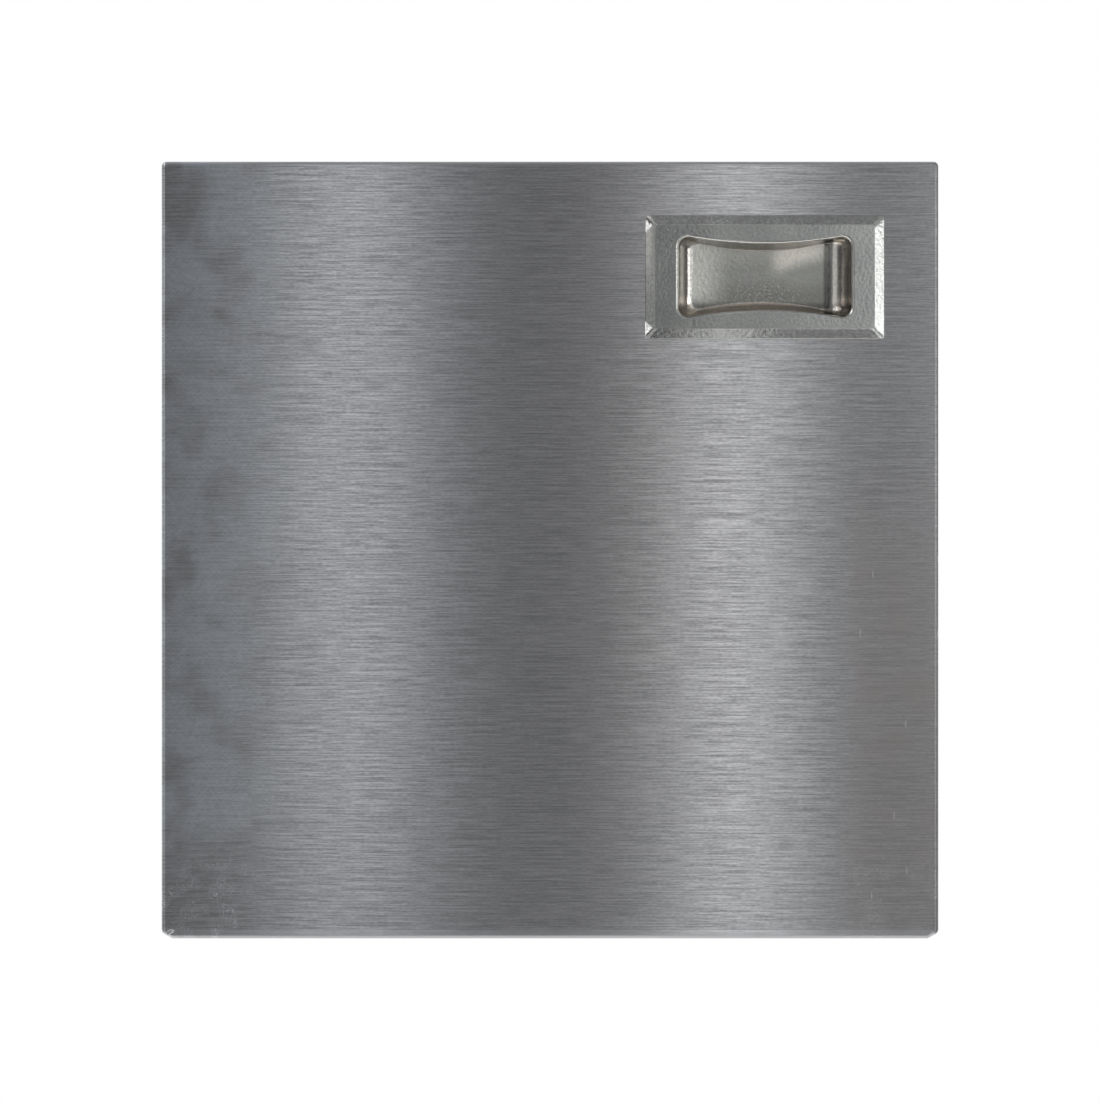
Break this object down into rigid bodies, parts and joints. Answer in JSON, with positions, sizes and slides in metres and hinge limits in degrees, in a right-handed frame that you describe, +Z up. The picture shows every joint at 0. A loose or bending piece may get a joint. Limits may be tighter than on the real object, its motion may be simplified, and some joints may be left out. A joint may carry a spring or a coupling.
{
  "type": "grill cabinet door",
  "caption": "Square overlay door for a grill cabinet: folded stainless pan with a stamped recessed finger pull, inner liner, hidden butt hinges, magnet strike and bumpers.",
  "frame": {"origin": "on the cabinet's face, midway between the two screw holes of the lower hinge's cabinet leaf", "axes": "+X to the right seen from the front, +Y into the cabinet, +Z up; the front of the door faces -Y"},
  "size_m": [0.4129, 0.0325, 0.413],
  "materials": {
    "brushed_stainless": "stainless sheet with a fine horizontal brushed grain",
    "mill_stainless": "plain mill-finish stainless sheet",
    "stamped_nickel": "stamped sheet with a satin nickel finish",
    "zinc_steel": "zinc plated steel",
    "galvanised_steel": "galvanised sheet steel",
    "rivet_steel": "stainless blind rivets",
    "hinge_steel": "tumbled stainless hinge strip",
    "pin_steel": "drawn stainless wire",
    "white_nylon": "natural nylon",
    "black_rubber": "moulded black rubber"
  },
  "bodies": {
    "cabinet_side": {"lower_frame_leaf": "hinge_steel", "upper_frame_leaf": "hinge_steel", "lower_hinge_pin": "pin_steel", "upper_hinge_pin": "pin_steel", "lower_hinge_washers": "white_nylon", "upper_hinge_washers": "white_nylon"},
    "door": {"door_skin": "brushed_stainless", "inner_liner": "mill_stainless", "pull_cup": "stamped_nickel", "pull_studs": "zinc_steel", "pull_nuts": "zinc_steel", "stiffener_channel": "galvanised_steel", "liner_rivets": "rivet_steel", "upper_backing_plate": "galvanised_steel", "lower_backing_plate": "galvanised_steel", "upper_door_leaf": "hinge_steel", "lower_door_leaf": "hinge_steel", "upper_leaf_screws": "zinc_steel", "lower_leaf_screws": "zinc_steel", "strike_plate": "zinc_steel", "strike_rivets": "rivet_steel", "upper_bumper": "black_rubber", "lower_bumper": "black_rubber"}
  },
  "joints": [
    {"name": "door_swing", "type": "hinge", "parent": "cabinet_side", "child": "door", "pos_m": [-0.0145, -0.00355, 0.1465], "axis": [0, 0, -1], "range_deg": [0, 100]}
  ]
}
